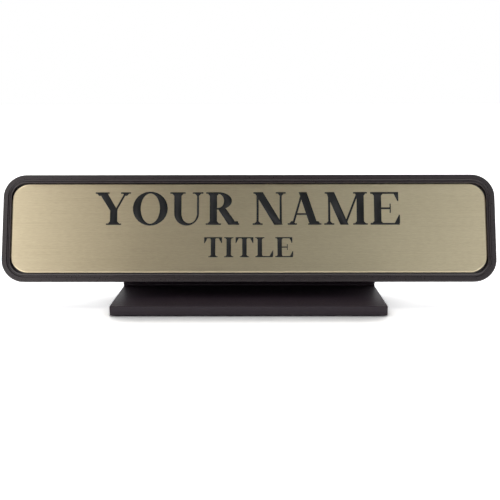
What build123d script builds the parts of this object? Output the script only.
from build123d import *
import os
from math import cos, radians, sin, tan

# Desk name plate: a moulded frame holds an engraver's plate, taped into a recess in its
# face. The upper half of the frame's back lies on the flange of a desk stand, and two
# screws from behind hold it there. The stand's riser leans forwards from the rear of its
# foot, so that the plate hangs over the foot, clear of it. Four rubber feet are under it.
#
# Millimetres. X runs across the plate, +Y points away from the reader, +Z is up.
# The origin is the middle of the stand's footprint, on the desk.

# Driving dimensions of the frame
frame_width = 260.35
frame_height = 57.15
frame_corner_radius = 12.0
frame_wall = 2.2
frame_side_taper = 0.5
tray_floor = 2.0
pocket_depth = 3.0
rear_edge_chamfer = 0.4

# Driving dimensions of the moulding round the face, from the outside inwards
band_width = 2.5
band_edge_radius = 0.6
groove_width = 0.95
groove_depth = 0.7
lip_width = 0.95
lip_drop = 0.25
lip_height = 0.3

# Driving dimensions of the insert and of the tape behind it
insert_gap = 0.36
insert_thickness = 1.5
insert_recess = 0.8
insert_bevel = 0.4
tape_width = 12.7
tape_thickness = 0.5
tape_end_margin = 10.0
tape_edge_margin = 5.0

# Driving dimensions of the ribs and screw bosses on the frame's back
rib_thickness = 1.4
rib_setback = 0.4
boss_radius = 3.6

# Driving dimensions of the desk stand
stand_width = 139.7
stand_thickness = 4.75
toe_reach = 48.2
stand_edge_radius = 0.3
plate_lean = 16.5
riser_lean = 20.0
riser_height = 33.3
riser_thickness = 4.0
riser_root_radius = 1.0
heel_radius = 4.0
knee_front_radius = 2.0
knee_rear_radius = 1.5
flange_length = 22.0
flange_tip_radius = 1.0

# Driving dimensions of the screws
screw_spacing = 76.2
shank_radius = 1.3
shank_tip_chamfer = 0.5
shank_clearance = 0.05
through_clearance = 0.3
head_radius = 2.8
head_height = 2.1
head_crown_radius = 1.0
drive_length = 3.2
drive_width = 0.8
drive_depth = 1.2
pilot_cap = 0.9
pilot_spare = 0.5

# Driving dimensions of the feet
foot_radius = 4.75
foot_sole_radius = 4.1
foot_height = 2.0
foot_stand = 0.5
foot_edge_chamfer = 0.3
foot_seat_clearance = 0.15
foot_inset = 10.0

# Depths behind the front of the band
insert_face = lip_drop + insert_recess
tape_face = insert_face + insert_thickness
floor_face = tape_face + tape_thickness
pocket_face = floor_face + tray_floor
frame_depth = pocket_face + pocket_depth

# Insets from the frame's outside edge
lip_start = band_width + groove_width
recess_inset = lip_start + lip_width
insert_inset = recess_inset + insert_gap
insert_width = frame_width - 2 * insert_inset
insert_height = frame_height - 2 * insert_inset
pocket_width = frame_width - 2 * frame_wall
pocket_height = frame_height - 2 * frame_wall

# The stand's section: the heel is the riser's own thickness at the desk, less its rounding
riser_tangent = tan(radians(riser_lean))
heel_corner_reach = riser_thickness / cos(radians(riser_lean)) + stand_thickness * riser_tangent
heel_rounding = heel_radius / tan(radians(90 - riser_lean) / 2) - heel_radius
stand_depth = toe_reach + heel_corner_reach - heel_rounding
stand_top = foot_stand + stand_thickness
toe_edge = -stand_depth / 2
riser_root = toe_edge + toe_reach
knee_place = riser_root - riser_height * riser_tangent
knee_level = stand_top + riser_height

# The knee meets the frame's back half way up, and the flange follows the frame from there
lean_sine = sin(radians(plate_lean))
lean_cosine = cos(radians(plate_lean))
face_normal = Vector(0, -lean_cosine, lean_sine)
face_up = Vector(0, lean_sine, lean_cosine)
frame_middle = Vector(0, knee_place, knee_level)
boss_rise = flange_length / 2

# Planes parallel to the face: x across, y up the lean, z towards the reader
back_plane = Plane(origin=frame_middle, x_dir=(1, 0, 0), z_dir=face_normal)
front_plane = back_plane.offset(frame_depth)
pocket_plane = back_plane.offset(pocket_depth)
screw_plane = Plane(origin=frame_middle + face_up * boss_rise, x_dir=(1, 0, 0), z_dir=face_normal)
head_plane = screw_plane.offset(-riser_thickness)

# Screw lengths and holes
pilot_depth = pocket_depth + tray_floor - pilot_cap
screw_reach = riser_thickness + pilot_depth - pilot_spare
pilot_radius = shank_radius + shank_clearance
through_radius = shank_radius + through_clearance

os.makedirs("parts", exist_ok=True)


def finish(piece, name):
    """Labels a finished piece and writes its STEP file."""
    piece.part.label = name
    export_step(piece.part, f"parts/{name}.step")


def frame_outline(inset, mode=Mode.ADD):
    """The frame's outline drawn in by an inset, with its corners kept concentric."""
    RectangleRounded(
        frame_width - 2 * inset,
        frame_height - 2 * inset,
        frame_corner_radius - inset,
        mode=mode,
    )


def screw_circles(radius):
    """A circle at each screw, on the sketch's plane."""
    with GridLocations(screw_spacing, 0, 2, 1):
        Circle(radius)


# Frame: a stepped moulding swept round a rounded rectangle. Its section is drawn with x
# inwards from the outside edge and y out of the face: band, cove, lip, then the rear. The
# sides taper inwards to the back, so that the frame leaves its mould.
with BuildPart() as frame:
    with BuildSketch(front_plane, mode=Mode.PRIVATE) as outline:
        frame_outline(0)
    rim = outline.sketch.wire()
    rim_plane = Plane(origin=rim @ 0, x_dir=face_normal.cross(rim % 0), z_dir=rim % 0)
    with BuildSketch(rim_plane):
        lip_foot = (lip_start, -lip_drop - lip_height)
        lip_edge = (recess_inset, -lip_drop - lip_height)
        with BuildLine():
            RadiusArc((0, -band_edge_radius), (band_edge_radius, 0), band_edge_radius)
            Line((band_edge_radius, 0), (band_width, 0))
            ThreePointArc((band_width, 0), (band_width + groove_width / 2, -groove_depth), lip_foot)
            ThreePointArc(lip_foot, (lip_start + lip_width / 2, -lip_drop), lip_edge)
            Polyline(
                lip_edge,
                (recess_inset, -frame_depth),
                (frame_side_taper + rear_edge_chamfer, -frame_depth),
                (frame_side_taper, rear_edge_chamfer - frame_depth),
                (0, -band_edge_radius),
            )
        make_face()
    sweep(path=rim)

    # Tray floor, and the pocket behind it that keeps the walls even
    with BuildSketch(pocket_plane):
        frame_outline(frame_wall)
    extrude(amount=tray_floor)
    with BuildSketch(back_plane):
        frame_outline(frame_wall)
    extrude(amount=pocket_depth, mode=Mode.SUBTRACT)

    # One rib along the pocket and ribs across it, through the bosses and short of the back
    rib_pitch = screw_spacing / 2
    rib_count = 2 * int(pocket_width / 2 / rib_pitch) + 1
    with BuildSketch(pocket_plane):
        with Locations((0, boss_rise)):
            Rectangle(pocket_width, rib_thickness)
        with GridLocations(rib_pitch, 0, rib_count, 1):
            Rectangle(rib_thickness, pocket_height)
        frame_outline(frame_wall, Mode.INTERSECT)
    extrude(amount=rib_setback - pocket_depth)

    # Screw bosses, flush with the back, and their pilot holes
    with BuildSketch(screw_plane):
        screw_circles(boss_radius)
    extrude(amount=pocket_depth)
    with BuildSketch(screw_plane):
        screw_circles(pilot_radius)
    extrude(amount=pilot_depth, mode=Mode.SUBTRACT)
finish(frame, "bezel_frame")

# Insert: an engraver's plate of brushed metal with a bevel cut round its face
with BuildPart() as insert:
    with BuildSketch(front_plane.offset(-tape_face)):
        frame_outline(insert_inset)
    extrude(amount=insert_thickness)
    insert_front = insert.faces().sort_by(Axis(frame_middle, face_normal))[-1]
    chamfer(insert_front.edges(), insert_bevel)
finish(insert, "name_insert")

# Tape: two strips hold the insert to the tray floor, near its top and bottom edges
tape_rise = insert_height / 2 - tape_edge_margin - tape_width / 2
for tape_place, tape_middle in (("upper", tape_rise), ("lower", -tape_rise)):
    with BuildPart() as tape:
        with BuildSketch(front_plane.offset(-floor_face)):
            with Locations((0, tape_middle)):
                Rectangle(insert_width - 2 * tape_end_margin, tape_width)
        extrude(amount=tape_thickness)
    finish(tape, f"insert_tape_{tape_place}")

# Stand: one section of foot, riser and flange, the same all the way across
foot_places = GridLocations(
    stand_width - 2 * foot_inset,
    stand_depth - 2 * foot_inset,
    2,
    2,
)
with BuildPart() as stand:
    knee = Vector(knee_place, knee_level)
    knee_turn = radians(riser_lean + plate_lean) / 2
    knee_tilt = radians(riser_lean - plate_lean) / 2
    knee_across = Vector(cos(knee_tilt), sin(knee_tilt)) * (riser_thickness / cos(knee_turn))
    flange_tip = knee + Vector(lean_sine, lean_cosine) * flange_length
    flange_across = Vector(lean_cosine, -lean_sine) * riser_thickness
    with BuildSketch(Plane.YZ):
        with BuildLine():
            FilletPolyline(
                (toe_edge, foot_stand),
                (riser_root + heel_corner_reach, foot_stand),
                knee + knee_across,
                flange_tip + flange_across,
                flange_tip,
                knee,
                (riser_root, stand_top),
                (toe_edge, stand_top),
                radius=[
                    stand_edge_radius,
                    heel_radius,
                    knee_rear_radius,
                    flange_tip_radius,
                    flange_tip_radius,
                    knee_front_radius,
                    riser_root_radius,
                    stand_edge_radius,
                ],
                close=True,
            )
        make_face()
    extrude(amount=stand_width / 2, both=True)

    # Clearance holes for the screws, square to the flange
    with BuildSketch(screw_plane):
        screw_circles(through_radius)
    extrude(amount=-riser_thickness, mode=Mode.SUBTRACT)

    # Seats for the feet
    with BuildSketch(Plane.XY.offset(foot_stand)):
        with foot_places:
            Circle(foot_radius + foot_seat_clearance)
    extrude(amount=foot_height - foot_stand, mode=Mode.SUBTRACT)
finish(stand, "desk_stand")

# Screws: pan heads behind the flange, their shanks through it into the frame's bosses
screw_section = Plane(origin=head_plane.origin, x_dir=(1, 0, 0), z_dir=-face_up)
for screw_side, screw_place in (("left", -screw_spacing / 2), ("right", screw_spacing / 2)):
    with BuildPart() as screw:
        axis_point = head_plane.from_local_coords(Vector(screw_place, 0, 0))
        with BuildSketch(screw_section):
            with BuildLine(Location((screw_place, 0))):
                crown_start = (head_radius - head_crown_radius, -head_height)
                crown_end = (head_radius, head_crown_radius - head_height)
                Line((0, -head_height), crown_start)
                RadiusArc(crown_start, crown_end, -head_crown_radius)
                Polyline(
                    crown_end,
                    (head_radius, 0),
                    (shank_radius, 0),
                    (shank_radius, screw_reach - shank_tip_chamfer),
                    (shank_radius - shank_tip_chamfer, screw_reach),
                    (0, screw_reach),
                    (0, -head_height),
                )
            make_face()
        revolve(axis=Axis(axis_point, face_normal))
        with BuildSketch(head_plane.offset(-head_height)):
            with Locations((screw_place, 0)):
                Rectangle(drive_length, drive_width)
                Rectangle(drive_width, drive_length)
        extrude(amount=drive_depth, mode=Mode.SUBTRACT)
    finish(screw, f"stand_screw_{screw_side}")

# Feet: tapered rubber discs pressed into the stand's seats
foot_names = ("front_left", "rear_left", "front_right", "rear_right")
for foot_name, foot_place in zip(foot_names, foot_places):
    with BuildPart() as foot:
        with BuildSketch(Plane(origin=foot_place.position, x_dir=(1, 0, 0), z_dir=(0, -1, 0))):
            Polygon(
                (0, 0),
                (foot_sole_radius, 0),
                (foot_radius, foot_height),
                (0, foot_height),
                align=None,
            )
        revolve(axis=Axis(foot_place.position, (0, 0, 1)))
        chamfer(foot.edges().sort_by(Axis.Z)[0], foot_edge_chamfer)
    finish(foot, f"foot_{foot_name}")
